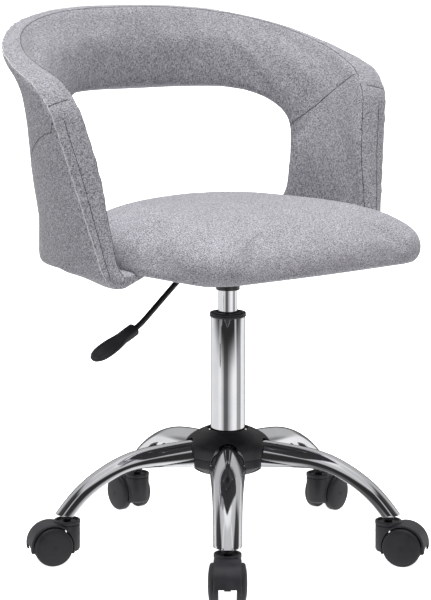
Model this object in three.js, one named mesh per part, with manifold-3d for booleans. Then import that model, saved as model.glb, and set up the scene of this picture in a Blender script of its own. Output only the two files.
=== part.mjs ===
// A low swivel desk chair: a five-arm pressed steel star base on twin-wheel casters, a gas lift column,
// a seat with a height lever, and a flared wrap-around back with a see-through window.
// Millimetres, +Z up. The sitter faces -Y. The origin is on the floor in the middle of the chair's
// overall length and width, a little behind the column's axis.

import * as THREE from 'three';
import { mergeVertices } from 'three/addons/utils/BufferGeometryUtils.js';
import Module from 'manifold-3d';

const wasm = await Module();
wasm.setup();

// ---- driving dimensions ----

const GAP = 0.3;                 // left between pieces that rest on each other
const RUN = 0.1;                 // radial running clearance of turning pieces

const WHEEL_R = 27.5;
const WHEEL_WIDTH = 13.5;
const WHEEL_TRACK = 24.5;        // clear width between the two wheels of a caster
const WHEEL_TOLERANCE = 1.8;     // clearance of the hood over the wheels
const CASTER_TRAIL = 24;         // axle behind the stem
const HOOD_R = 32;
const HOOD_WIDTH = 37.5;
const HOUSING_BOTTOM = 16;
const TAIL_BOTTOM = 20;
const TAIL_GAP = [32, 28];        // the hood is open between the wheels behind this x, below this height
const CUP_TOP = 62;
const CUP_SINK = 3;              // depth of the recess in the cup's top
const WEB = 9;
const AXLE_R = 3;
const STEM_R = 5.5;
const STEM_SINK = 14;

const COLUMN_Y = -16.6;          // the column's axis, in front of the origin
const STAR_TURN = 13;            // degrees from +X to the first arm
const STEM_CIRCLE = 240;         // distance of the caster stems from the column
const ARM_COUNT = 5;
const ARM_SHEET = 2.2;
const ARM_CREST = [[34.6, 165], [90, 161], [145, 155], [187, 135.5], [227, 108], [246, 84], [256, 72]];
const ARM_DEEP = [35, 17];       // section height at the hub and past the bend
const ARM_WIDE = [49.4, 39];     // section width at the hub and at the end
const ARM_BEND = 187;
const ARM_END = 70;              // the arm's end is cut level at this height
const SOCKET_R = 10;

const TUBE_R = 25;
const TUBE_WALL = 2.5;
const TUBE_BOTTOM = 121;
const TUBE_TOP = 342;
const COLLAR_R = 26.3;
const COLLAR_TOP = 348.5;
const BUSH_BOTTOM = 252;
const HUB_R = 63;
const HUB_BOTTOM = 117;
const HUB_SEAM = 142;
const HUB_TOP = 179;
const HUB_CORE_R = 34.2;
const COVER_WALL = 2.5;
const NOTCH_WIDE = 51.4;
const NOTCH_BOTTOM = 120;        // the covers are open under each arm, down to here
const NOTCH_SPRING = 130;        // the notch's walls are straight up to here, and arched above
const NOTCH_TOP = 166.6;

const ROD_R = 5;
const FLANGE_R = 11;
const BEARING_TOP = 133.1;
const PISTON_BOTTOM = 262;
const PISTON_TOP = 272;
const CYLINDER_R = 14;
const CYLINDER_BORE = 11.5;
const CYLINDER_BOTTOM = 166;
const CYLINDER_TOP = 401.5;
const PIN_R = 3;
const PIN_TOP = 406.7;

const PLATE_TOP = 423.7;
const PLATE_THICK = 3;
const PLATE_HALF = [95, 80];
const BOX_HALF = [32, 34];
const BOX_BOTTOM = 398;
const SOCKET_BOTTOM = 381;
const SHEET = 2.5;
const BOLT_AT = [80, 60];
const BOLT_R = 3;
const BOLT_HOLE = 3.4;

const LEVER_R = 4;
const LEVER_Z = 411;
const LEVER_PIVOT_X = -22;
const LEVER_PATH = [[8, 411], [-30, 411], [-72, 410.8], [-87, 406.2], [-102, 395.2], [-152, 354.8],
  [-158, 350], [-163.5, 346.3], [-170, 343.2], [-183, 337.14]];
const GRIP_START = [-170, 343.2];
const GRIP_SLOPE = 25;
const GRIP_LONG = 81;
const GRIP_WIDE = 26;
const GRIP_ROLL = 25;            // the front edge of the grip is turned down

const SEAT_BOTTOM = 424;
const BOARD_THICK = 12;
const BOARD_INSET = 22;
const SEAT_HALF_WIDTH = 214;
const SEAT_FRONT = -217;
const SEAT_BACK = 184;
const SEAT_CORNER = 60;
const SEAT_BOW = 5;              // how far the front edge bows forward
const SEAT_BOW_HALF = 0.625;     // the bow's half length, as a share of the seat's half width
const SEAT_SETBACK = 26;         // how far the top's crown lies behind the outline's middle
const SEAT_PROFILE = [[424, 12], [430, 3], [444, 0], [459, 3], [475, 13], [491, 36], [503, 74], [512, 130]];

const BACK_BOTTOM = 424;         // lower edge of the wrap-around back
const BACK_SQUARE = 2.5;         // superellipse exponent of the plan curve
const SIDE_HALF = 264.5;         // outer half width at the lower edge
const SIDE_FLARE = 0.237;        // outward lean of the sides, per mm of height
const BACK_DEPTH = 232;          // from the column to the outside of the back, at the lower edge
const BACK_FLARE = 0.08;
const FRONT_EDGE = -52.5;        // front edge of the arms, at the lower edge
const FRONT_LEAN = 0.19;
const RIM_HEIGHT = 680;          // of the rim beside the column
const RIM_RISE = 0.4;            // of the rim towards the back
const RIM_CORNER = 52;           // radius where the rim turns down into the front edge
const CORNER_TOP = 625;          // height of the front edge where that corner ends
const WINDOW_TURN = 60;          // degrees of the plan curve, each way from the middle
const WINDOW_MIDDLE = 556;
const WINDOW_UP = 101;
const WINDOW_DOWN = 108;
const WINDOW_POWER = [4, 3];     // squareness of the window's lower and upper half

const PANEL = [0, 8];            // depth of each layer of the back, from its outer face inwards
const SHELL = [8.5, 18.5];
const PAD_START = 19;
const PAD_LOW = 41;
const PAD_SWELL = 20;
const RIM_THIN = 15;
const WAIST = 21;                // how far the outside is drawn in beside the window
const WAIST_HIGH = 26;           // how much further above it
const RIM_FLARE = 35;            // and how much of both it gives back at the rim
const WAIST_BACK = 0.55;         // share of all three in the middle of the back
const BOXING = [3, 43];
const BOXING_THICK = 8;
const SEAM_GAP = 1.6;            // between the layers of the back and the boxing over their edges
const FLANGE_INNER = 110;
const FLANGE_OUTER = 226;
const FLANGE_LOW = 417;
const FOOT_BOTTOM = 413;

const turn = THREE.MathUtils.degToRad;
const group = new THREE.Group();

// ---- materials ----

const standard = (color, roughness, metalness) => () =>
  new THREE.MeshStandardMaterial({ color, roughness, metalness });
const fabric = standard(0x8c8a90, 0.95, 0);
const chrome = standard(0xd9dade, 0.08, 1);
const steel = standard(0x9a9ca0, 0.35, 1);
const blackSteel = standard(0x18181a, 0.5, 0.4);
const plastic = standard(0x2b2a2e, 0.55, 0);
const plywood = standard(0xb08d5e, 0.8, 0);
const blackBoard = standard(0x1a1a1c, 0.8, 0);

// ---- geometry helpers ----

function addPart(name, geometry, material, parent = group) {
  const mesh = new THREE.Mesh(geometry, material());
  mesh.name = name;
  parent.add(mesh);
  return mesh;
}

// Shared vertices joined, and triangles dropped that the joining has closed up.
function weld(geometry) {
  const bare = geometry.clone();
  bare.deleteAttribute('normal');
  bare.deleteAttribute('uv');
  const merged = mergeVertices(bare, 1e-3);
  const index = Array.from(merged.index.array);
  const kept = [];
  for (let i = 0; i < index.length; i += 3) {
    const [a, b, c] = index.slice(i, i + 3);
    if (a !== b && b !== c && c !== a) kept.push(a, b, c);
  }
  merged.setIndex(kept);
  return merged;
}

function meshOf(positions, index) {
  const geometry = new THREE.BufferGeometry();
  geometry.setAttribute('position', new THREE.Float32BufferAttribute(positions, 3));
  geometry.setIndex(index);
  return outward(weld(geometry));
}

function volumeOf(geometry) {
  const at = geometry.attributes.position;
  const index = geometry.index.array;
  const corner = (i) => new THREE.Vector3().fromBufferAttribute(at, index[i]);
  let total = 0;
  for (let i = 0; i < index.length; i += 3) {
    total += corner(i).dot(corner(i + 1).cross(corner(i + 2))) / 6;
  }
  return total;
}

// Winding flipped where the faces point in.
function outward(geometry) {
  if (volumeOf(geometry) < 0) {
    geometry.setIndex(Array.from(geometry.index.array).reverse());
  }
  return geometry;
}

function solid(geometry) {
  const merged = weld(geometry);
  return new wasm.Manifold(new wasm.Mesh({
    numProp: 3,
    vertProperties: new Float32Array(merged.attributes.position.array),
    triVerts: new Uint32Array(merged.index.array),
  }));
}

function fromSolid(body) {
  const mesh = body.getMesh();
  return meshOf(Array.from(mesh.vertProperties), Array.from(mesh.triVerts));
}

function cut(geometry, ...tools) {
  return fromSolid(tools.reduce((body, tool) => body.subtract(solid(tool)), solid(geometry)));
}

function join(geometry, ...others) {
  return fromSolid(others.reduce((body, other) => body.add(solid(other)), solid(geometry)));
}

// A solid of revolution about +Z from [radius, height] points; a hollow one's profile closes on itself.
function lathe(points, segments) {
  const geometry = new THREE.LatheGeometry(points.map(([r, z]) => new THREE.Vector2(r, z)), segments);
  return outward(weld(geometry.rotateX(Math.PI / 2)));
}

function ring(rIn, rOut, zLow, zHigh, segments) {
  return lathe([[rIn, zLow], [rOut, zLow], [rOut, zHigh], [rIn, zHigh], [rIn, zLow]], segments);
}

function rod(radius, zLow, zHigh, segments) {
  return lathe([[0, zLow], [radius, zLow], [radius, zHigh], [0, zHigh]], segments);
}

// A cylinder lying along Y, centred at x, z.
function crossRod(radius, width, x, z, segments) {
  return new THREE.CylinderGeometry(radius, radius, width, segments).translate(x, 0, z);
}

function box(x0, x1, y0, y1, z0, z1) {
  const geometry = new THREE.BoxGeometry(x1 - x0, y1 - y0, z1 - z0);
  return geometry.translate((x0 + x1) / 2, (y0 + y1) / 2, (z0 + z1) / 2);
}

// Closed loops of equal length joined into one solid, its two ends closed in the plane that flat gives.
function loft(loops, flat = ([x, y]) => [x, y]) {
  const count = loops[0].length;
  const index = [];
  for (let row = 0; row + 1 < loops.length; row += 1) {
    for (let i = 0; i < count; i += 1) {
      const a = row * count + i;
      const b = row * count + (i + 1) % count;
      index.push(a, b, b + count, a, b + count, a + count);
    }
  }
  const last = (loops.length - 1) * count;
  const cap = (loop) => {
    const outline = loop.map((point) => new THREE.Vector2(...flat(point)));
    const faces = THREE.ShapeUtils.triangulateShape(outline, []);
    return THREE.ShapeUtils.isClockWise(outline) ? faces.map(([a, b, c]) => [a, c, b]) : faces;
  };
  for (const [a, b, c] of cap(loops[0])) index.push(a, c, b);
  for (const [a, b, c] of cap(loops.at(-1))) index.push(last + a, last + b, last + c);
  return meshOf(loops.flat(2), index);
}

const sideways = ([, y, z]) => [y, z];
const smooth = (x, low, high) => THREE.MathUtils.smoothstep(x, low, high);
const signedPower = (x, power) => Math.sign(x) * Math.abs(x) ** power;

// ---- casters ----

// One wheel about its axle: domed outer face, hub boss towards the web. side is +1 or -1 along Y.
function wheelGeometry(side) {
  const inner = WHEEL_TRACK / 2;
  const outer = inner + WHEEL_WIDTH;
  const boss = WEB / 2 + GAP;
  const bore = AXLE_R + RUN;
  const profile = [
    [bore, boss], [7, boss], [7, inner], [WHEEL_R - 1.5, inner], [WHEEL_R, inner + 1.5],
    [WHEEL_R, outer - 4.5], [WHEEL_R - 2, outer - 2], [16, outer], [0, outer + 0.6],
    [0, outer - 3], [bore, outer - 3], [bore, boss],
  ];
  return lathe(profile, 20).rotateX(-side * Math.PI / 2);
}

// Hood, stem cup and centre web in one moulding: the stem is on Z and the axle behind it on +X.
function housingGeometry() {
  const half = HOOD_WIDTH / 2;
  const hood = crossRod(HOOD_R, HOOD_WIDTH, CASTER_TRAIL, WHEEL_R, 24);
  const cup = lathe([
    [0, HOUSING_BOTTOM], [15, HOUSING_BOTTOM], [half - 0.6, HOUSING_BOTTOM + 4], [half - 0.3, CUP_TOP - 7],
    [half - 1.6, CUP_TOP - 6.4], [half - 1.6, CUP_TOP - 5.4], [half, CUP_TOP - 4.8], [half, CUP_TOP - 1],
    [half - 1, CUP_TOP], [half - 3, CUP_TOP], [half - 3.6, CUP_TOP - CUP_SINK], [0, CUP_TOP - CUP_SINK],
  ], 20);
  const pocketWide = 60;
  const pocket = (side) => crossRod(WHEEL_R + WHEEL_TOLERANCE, pocketWide, CASTER_TRAIL, WHEEL_R, 24)
    .translate(0, side * (pocketWide + WEB) / 2, 0);
  return cut(
    join(hood, cup),
    box(-60, 90, -40, 40, -20, HOUSING_BOTTOM),
    box(CASTER_TRAIL, 90, -40, 40, -20, TAIL_BOTTOM),
    box(TAIL_GAP[0], 90, -WHEEL_TRACK / 2, WHEEL_TRACK / 2, -20, TAIL_GAP[1]),
    pocket(1),
    pocket(-1),
    crossRod(AXLE_R + RUN, 60, CASTER_TRAIL, WHEEL_R, 12),
    rod(STEM_R + 2 * RUN, CUP_TOP - STEM_SINK - GAP, CUP_TOP + 9, 16),
  );
}

function stemGeometry() {
  return lathe([
    [0, CUP_TOP - STEM_SINK], [STEM_R, CUP_TOP - STEM_SINK], [STEM_R, CUP_TOP + 1], [8.5, CUP_TOP + 1],
    [8.5, CUP_TOP + 4], [STEM_R, CUP_TOP + 4], [STEM_R, CUP_TOP + 20], [0, CUP_TOP + 20],
  ], 12);
}

function addCaster(number, place) {
  const axleLength = WHEEL_TRACK + 2 * WHEEL_WIDTH - 8;
  addPart(`caster_stem_${number}`, stemGeometry(), steel, place);
  addPart(`caster_housing_${number}`, housingGeometry(), plastic, place);
  const axle = weld(crossRod(AXLE_R, axleLength, CASTER_TRAIL, WHEEL_R, 12));
  addPart(`caster_axle_${number}`, axle, steel, place);
  for (const [label, side] of [['a', 1], ['b', -1]]) {
    const wheel = addPart(`caster_wheel_${number}${label}`, wheelGeometry(side), plastic, place);
    wheel.position.set(CASTER_TRAIL, 0, WHEEL_R);
  }
}

// ---- star base ----

// Half-round arch, as [across, up] points from +across over the crown to -across.
function arch(wide, high) {
  const steps = 8;
  return Array.from({ length: steps + 1 }, (_, k) => {
    const t = Math.PI * k / steps;
    return [wide / 2 * Math.cos(t), high * Math.sin(t)];
  });
}

// Arch sections swept along the arm's crest line, thinned by sheet and run down below by skirt.
function armBody(sheet, skirt) {
  const crest = new THREE.SplineCurve(ARM_CREST.map(([r, z]) => new THREE.Vector2(r, z)));
  const steps = 9;
  const loops = [];
  for (let k = 0; k <= steps; k += 1) {
    const at = crest.getPoint(k / steps);
    const along = crest.getTangent(k / steps);
    const bend = smooth(at.x, ARM_CREST[0][0], ARM_BEND);
    const deep = THREE.MathUtils.lerp(ARM_DEEP[0], ARM_DEEP[1], bend);
    const wide = THREE.MathUtils.lerp(ARM_WIDE[0], ARM_WIDE[1], smooth(at.x, ARM_BEND / 2, STEM_CIRCLE));
    const section = arch(wide - 2 * sheet, deep - sheet);
    if (skirt > 0) section.push([-wide / 2 + sheet, -skirt], [wide / 2 - sheet, -skirt]);
    loops.push(section.map(([across, up]) => {
      const drop = deep - up;
      return [at.x + drop * along.y, across, at.y - drop * along.x];
    }));
  }
  return loft(loops, sideways);
}

// Inverted pressed channel with a welded socket for the caster's stem.
function armGeometry() {
  const outside = solid(armBody(0, 0));
  const socket = solid(rod(SOCKET_R, CUP_TOP, CUP_TOP + 60, 16).translate(STEM_CIRCLE, 0, 0));
  const bore = solid(rod(STEM_R + GAP, CUP_TOP - 9, CUP_TOP + 20 + GAP, 16).translate(STEM_CIRCLE, 0, 0));
  const hollow = solid(armBody(ARM_SHEET, 12).translate(-0.5, 0, 0)).subtract(socket);
  const nearHub = solid(box(0, ARM_CREST[0][0], -60, 60, 0, 300));
  const underEnd = solid(box(200, 300, -60, 60, 0, ARM_END));
  return fromSolid(outside.subtract(hollow).subtract(bore).subtract(nearHub).subtract(underEnd));
}

function notch(turned) {
  const section = arch(NOTCH_WIDE, NOTCH_TOP - NOTCH_SPRING);
  section.push([-NOTCH_WIDE / 2, NOTCH_BOTTOM - NOTCH_SPRING], [NOTCH_WIDE / 2, NOTCH_BOTTOM - NOTCH_SPRING]);
  const loops = [26, HUB_R + 20].map((r) => section.map(([across, up]) => [r, across, NOTCH_SPRING + up]));
  return loft(loops, sideways).rotateZ(turned);
}

const armAngles = Array.from({ length: ARM_COUNT }, (_, k) => turn(STAR_TURN + 360 * k / ARM_COUNT));

function addBase() {
  armAngles.forEach((angle, k) => {
    const number = k + 1;
    const arm = addPart(`base_arm_${number}`, armGeometry(), chrome);
    arm.rotation.z = angle;
    const place = new THREE.Group();
    place.position.set(STEM_CIRCLE * Math.cos(angle), STEM_CIRCLE * Math.sin(angle), 0);
    place.rotation.z = angle;
    group.add(place);
    addCaster(number, place);
  });
}

function addHub() {
  const bore = TUBE_R + GAP;
  addPart('hub_core', lathe([
    [bore, 124], [HUB_CORE_R, 124], [HUB_CORE_R, 166], [28.6, 168], [28.6, 172],
    [27.4, 173.5], [bore, 173.5], [bore, 124],
  ], 32), blackSteel);
  const notches = armAngles.map((angle) => notch(angle));
  const hole = 29.2;
  const lowSeam = HUB_SEAM - GAP;
  const inner = HUB_R - COVER_WALL;
  addPart('hub_top_cover', cut(lathe([
    [HUB_R, HUB_SEAM], [HUB_R, 152], [HUB_R - 1.6, 157.8], [HUB_R - 5.4, 163.4], [HUB_R - 11.5, 168.4],
    [HUB_R - 19, 172.9], [HUB_R - 27, 176.9], [hole, HUB_TOP], [hole, HUB_TOP - COVER_WALL], [35, 174.4],
    [42.8, 170.6], [50, 166.4], [55.8, 161.6], [inner - 1.5, 156.8], [inner, 151.6], [inner, HUB_SEAM],
    [HUB_R, HUB_SEAM],
  ], 30), ...notches), plastic);
  addPart('hub_bottom_cover', cut(lathe([
    [HUB_R, lowSeam], [HUB_R + 0.5, 131], [HUB_R - 1, 128.6], [HUB_R - 16, 118.4],
    [42, HUB_BOTTOM], [20, HUB_BOTTOM], [20, HUB_BOTTOM + COVER_WALL], [41.4, HUB_BOTTOM + COVER_WALL],
    [45.8, 120.9], [59.6, 130.2], [inner + 0.4, 132], [inner, lowSeam], [HUB_R, lowSeam],
  ], 30), ...notches), plastic);
}

// ---- gas lift ----

function addColumn() {
  const inner = TUBE_R - TUBE_WALL;
  const floor = TUBE_BOTTOM + 3;
  addPart('column_tube', lathe([
    [6, TUBE_BOTTOM], [TUBE_R, TUBE_BOTTOM], [TUBE_R, TUBE_TOP], [inner, TUBE_TOP],
    [inner, floor], [6, floor], [6, TUBE_BOTTOM],
  ], 40), chrome);
  const bore = CYLINDER_R + RUN;
  const neck = TUBE_TOP + GAP;
  addPart('guide_bush', lathe([
    [bore, BUSH_BOTTOM], [inner - GAP, BUSH_BOTTOM], [inner - GAP, neck], [COLLAR_R, neck],
    [COLLAR_R, COLLAR_TOP - 1.5], [COLLAR_R - 1.5, COLLAR_TOP], [17, COLLAR_TOP], [bore, COLLAR_TOP - 2],
    [bore, BUSH_BOTTOM],
  ], 40), plastic);
  addPart('thrust_bearing', ring(6.2, 13, floor + GAP, BEARING_TOP, 24), steel);
  const shoulder = BEARING_TOP + GAP;
  addPart('piston_rod', lathe([
    [0, 112], [ROD_R, 112], [ROD_R, shoulder], [FLANGE_R, shoulder], [FLANGE_R, shoulder + 3.5],
    [ROD_R, shoulder + 3.5], [ROD_R, PISTON_BOTTOM], [CYLINDER_BORE - RUN, PISTON_BOTTOM],
    [CYLINDER_BORE - RUN, PISTON_TOP], [0, PISTON_TOP],
  ], 24), steel);
  addPart('rod_clip', ring(ROD_R + GAP, 9, TUBE_BOTTOM - 3, TUBE_BOTTOM - GAP, 20), steel);
  addPart('pressure_cylinder', lathe([
    [ROD_R + RUN, CYLINDER_BOTTOM], [CYLINDER_R, CYLINDER_BOTTOM], [CYLINDER_R, CYLINDER_TOP],
    [PIN_R + RUN, CYLINDER_TOP], [PIN_R + RUN, CYLINDER_TOP - 20], [CYLINDER_BORE, CYLINDER_TOP - 24],
    [CYLINDER_BORE, CYLINDER_BOTTOM + 8], [ROD_R + RUN, CYLINDER_BOTTOM + 8], [ROD_R + RUN, CYLINDER_BOTTOM],
  ], 40), chrome);
  addPart('release_pin', lathe([
    [0, CYLINDER_TOP - 18], [PIN_R, CYLINDER_TOP - 18], [PIN_R, PIN_TOP - 0.6], [PIN_R - 0.8, PIN_TOP],
    [0, PIN_TOP],
  ], 40), steel);
}

// ---- mechanism and lever ----

const boltPlaces = [[-1, -1], [-1, 1], [1, -1], [1, 1]].map(([x, y]) => [x * BOLT_AT[0], y * BOLT_AT[1]]);
const boltHoles = (zLow, zHigh) => boltPlaces.map(
  ([x, y]) => rod(BOLT_HOLE, zLow, zHigh, 12).translate(x, y, 0));

function mechanismGeometry() {
  const [px, py] = PLATE_HALF;
  const [bx, by] = BOX_HALF;
  const low = PLATE_TOP - PLATE_THICK;
  const plate = box(-px, px, -py, py, low, PLATE_TOP);
  const stiffener = (side) => box(-px, px, side * py - SHEET / 2, side * py + SHEET / 2, low - 7, low + 1)
    .translate(0, -side * SHEET / 2, 0);
  const casing = box(-bx, bx, -by, by, BOX_BOTTOM, low + 1);
  const inside = box(-bx + SHEET, bx - SHEET, -by + SHEET, by - SHEET, BOX_BOTTOM + SHEET, low);
  const ear = (side) => box(-8, 8, -1.2, 1.2, LEVER_Z - 8, low + 1).translate(LEVER_PIVOT_X, side * 10, 0);
  const socket = rod(CYLINDER_R + 3.2, SOCKET_BOTTOM, CYLINDER_TOP - 2, 40);
  const slot = box(-bx - 9, -bx + 9, -LEVER_R - 3, LEVER_R + 3, LEVER_Z - 7, LEVER_Z + 9);
  const body = join(cut(casing, inside, slot), plate, stiffener(1), stiffener(-1), socket, ear(1), ear(-1));
  return cut(
    body,
    rod(CYLINDER_R + GAP, SOCKET_BOTTOM - 9, CYLINDER_TOP + 3, 40),
    crossRod(2.6, 60, LEVER_PIVOT_X, LEVER_Z, 12),
    ...boltHoles(low - 20, PLATE_TOP + 20),
  );
}

function leverGeometry() {
  const path = new THREE.CatmullRomCurve3(LEVER_PATH.map(([x, z]) => new THREE.Vector3(x, 0, z)));
  const section = new THREE.Shape().absarc(0, 0, LEVER_R, 0, 2 * Math.PI);
  const bar = new THREE.ExtrudeGeometry(section, { steps: 16, curveSegments: 4, extrudePath: path });
  return cut(bar, crossRod(2.5 + RUN, 30, LEVER_PIVOT_X, LEVER_Z, 12));
}

// Flat paddle with a thicker socket block, drawn along +X and then tilted down along the lever.
function gripGeometry() {
  const half = GRIP_WIDE / 2;
  const outline = new THREE.Shape();
  outline.moveTo(0, -8);
  outline.lineTo(16, -8);
  outline.bezierCurveTo(26, -8, 28, -half, 40, -half);
  outline.lineTo(GRIP_LONG - 20, -half);
  outline.absellipse(GRIP_LONG - 20, 0, 20, half, -Math.PI / 2, Math.PI / 2);
  outline.lineTo(40, half);
  outline.bezierCurveTo(28, half, 26, 8, 16, 8);
  outline.lineTo(0, 8);
  const paddle = new THREE.ExtrudeGeometry(outline, {
    depth: 6, curveSegments: 8, bevelEnabled: true, bevelThickness: 1.5, bevelSize: 1.5, bevelSegments: 2,
  }).translate(0, 0, -3);
  const block = box(0, 25, -9, 9, -7, 7);
  const bore = rod(LEVER_R + GAP, -3, 19.5, 12).rotateY(Math.PI / 2);
  return cut(join(paddle, block), bore)
    .rotateX(-turn(GRIP_ROLL))
    .rotateY(Math.PI - turn(GRIP_SLOPE))
    .translate(GRIP_START[0], 0, GRIP_START[1]);
}

function boltGeometry() {
  const low = PLATE_TOP - PLATE_THICK - GAP;
  const head = new THREE.CylinderGeometry(5.8, 5.8, 4, 6).rotateX(Math.PI / 2).translate(0, 0, low - 2);
  return join(head, rod(BOLT_R, low - 1, SEAT_BOTTOM + BOARD_THICK - 2, 12));
}

function addMechanism() {
  addPart('mechanism_plate', mechanismGeometry(), blackSteel);
  addPart('lever_pivot_pin', weld(crossRod(2.5, 26, LEVER_PIVOT_X, LEVER_Z, 12)), steel);
  addPart('lever_rod', leverGeometry(), blackSteel);
  addPart('lever_grip', gripGeometry(), plastic);
  boltPlaces.forEach(([x, y], k) => {
    const bolt = addPart(`plate_bolt_${k + 1}`, boltGeometry(), steel);
    bolt.position.set(x, y, 0);
  });
}

// ---- seat ----

// Plan outline of the seat, anticlockwise from above, brought in by inset.
function seatOutline(inset) {
  const half = SEAT_HALF_WIDTH - inset;
  const front = SEAT_FRONT + inset;
  const back = SEAT_BACK - inset;
  const r = Math.max(SEAT_CORNER - inset, 12);
  const points = [];
  for (let k = 0; k <= 12; k += 1) {
    const t = Math.PI * k / 12;
    points.push([half * signedPower(Math.cos(t), 0.8), back * signedPower(Math.sin(t), 0.8)]);
  }
  for (const [side, start] of [[-1, 180], [1, 270]]) {
    for (let k = 0; k <= 4; k += 1) {
      const t = turn(start + 90 * k / 4);
      points.push([side * (half - r) + r * Math.cos(t), front + r + r * Math.sin(t)]);
    }
    if (side < 0) {
      for (const x of [-0.4, 0, 0.4]) {
        points.push([x * half, front - SEAT_BOW * (1 - (x / SEAT_BOW_HALF) ** 2)]);
      }
    }
  }
  return points;
}

const seatLoop = (inset, z) => seatOutline(inset).map(
  ([x, y]) => [x, y + SEAT_SETBACK * smooth(z, 455, 512), z]);

function addSeat() {
  const pocket = BOARD_INSET - GAP;
  const loops = [
    seatLoop(pocket, SEAT_BOTTOM + BOARD_THICK + GAP),
    seatLoop(pocket, SEAT_BOTTOM),
    ...SEAT_PROFILE.map(([z, inset]) => seatLoop(inset, z)),
  ];
  addPart('seat_cushion', loft(loops), fabric);
  const board = loft([seatLoop(BOARD_INSET, SEAT_BOTTOM), seatLoop(BOARD_INSET, SEAT_BOTTOM + BOARD_THICK)]);
  addPart('seat_board', cut(board, ...boltHoles(400, 500)), blackBoard);
}

// ---- wrap-around back ----
// The path parameter u runs from -1 at the front of the sitter's right arm, round the back at 0, to +1.
// The curved part is a superellipse quarter each side; the last part of each arm runs straight.

const ARC_SHARE = 0.8;
const turnAt = (u) => Math.PI / 2 * Math.min(Math.abs(u) / ARC_SHARE, 1);
const straightAt = (u) => Math.max((Math.abs(u) - ARC_SHARE) / (1 - ARC_SHARE), 0);
const frontY = (z, edge) => FRONT_EDGE + FRONT_LEAN * (z - BACK_BOTTOM) + edge;

// A point at path u and height z, inset from the plan curve, on a sheet whose rim is brought in by edge.
function backPoint(u, z, inset, edge) {
  const rise = z - BACK_BOTTOM;
  const half = SIDE_HALF + SIDE_FLARE * rise - inset;
  const deep = BACK_DEPTH + BACK_FLARE * rise - inset;
  const t = turnAt(u);
  const power = 2 / BACK_SQUARE;
  const x = Math.sign(u) * half * Math.sin(t) ** power;
  const y = deep * Math.max(Math.cos(t), 0) ** power;
  const straight = straightAt(u);
  return [x, straight > 0 ? straight * frontY(z, edge) : y, z];
}

// Height of the rim at path u: a straight rise to the back, rounded down into the front edge.
function rimHeight(u, edge) {
  let z = RIM_HEIGHT;
  for (let pass = 0; pass < 4; pass += 1) {
    const y = backPoint(u, z, 0, edge)[1];
    const r = RIM_CORNER - edge;
    const q = Math.min(Math.max((frontY(CORNER_TOP, 0) + RIM_CORNER - y) / r, 0), 1);
    z = RIM_HEIGHT + RIM_RISE * y - edge - r * (1 - Math.sqrt(1 - q * q));
  }
  return z;
}

// How far the outer layers are drawn in from the plan curve, most of all at the rear corners.
function waist(u, z) {
  const t = turnAt(u);
  const corner = Math.sin(2 * t) ** 2;
  const share = t < Math.PI / 4 ? THREE.MathUtils.lerp(WAIST_BACK, 1, corner) : corner;
  const flare = RIM_FLARE * (1 - smooth(rimHeight(u, 0) - z, 0, 55));
  return share * (WAIST * smooth(z, BACK_BOTTOM, 520) + WAIST_HIGH * smooth(z, 530, 660) - flare);
}

// Distance from the window's middle height down (side 0) or up (side 1) to its edge at path u.
// Outside the window the row opens again as plain sheet.
function windowHalf(u, side) {
  const t = turnAt(u) / turn(WINDOW_TURN);
  if (t >= 1) return 60 * smooth(t, 1, 1.5);
  const power = WINDOW_POWER[side];
  return [WINDOW_DOWN, WINDOW_UP][side] * (1 - t ** power) ** (1 / power);
}

const turnStops = [0, 0.02, 12, 23, 33, 42, 49, 54, 58, WINDOW_TURN, WINDOW_TURN + 0.15, 66, 73, 80, 86, 90];
const straightStops = [0.45, 0.8, 1];
const halfPath = [
  ...turnStops.map((t) => ARC_SHARE * t / 90),
  ...straightStops.map((s) => ARC_SHARE + (1 - ARC_SHARE) * s),
];
const pathStops = [...halfPath.slice(1).map((u) => -u).reverse(), ...halfPath];
const inWindow = (u) => turnAt(u) < turn(WINDOW_TURN);
const inArm = (u) => turnAt(u) > turn(WINDOW_TURN + 0.15);
const offMiddle = (u) => turnAt(u) > turn(0.02);

// Heights of the grid rows at path u: low strip, window row, and the band above it.
function rowHeights(u, edge) {
  const low = WINDOW_MIDDLE - windowHalf(u, 0);
  const high = WINDOW_MIDDLE + windowHalf(u, 1);
  const top = rimHeight(u, edge);
  const between = THREE.MathUtils.lerp;
  return [
    BACK_BOTTOM, between(BACK_BOTTOM, low, 0.5), low,
    ...[0, 0.35, 0.62, 0.82, 1].map((share) => between(high, top, share)),
  ];
}

const WINDOW_ROW = 2;

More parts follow.
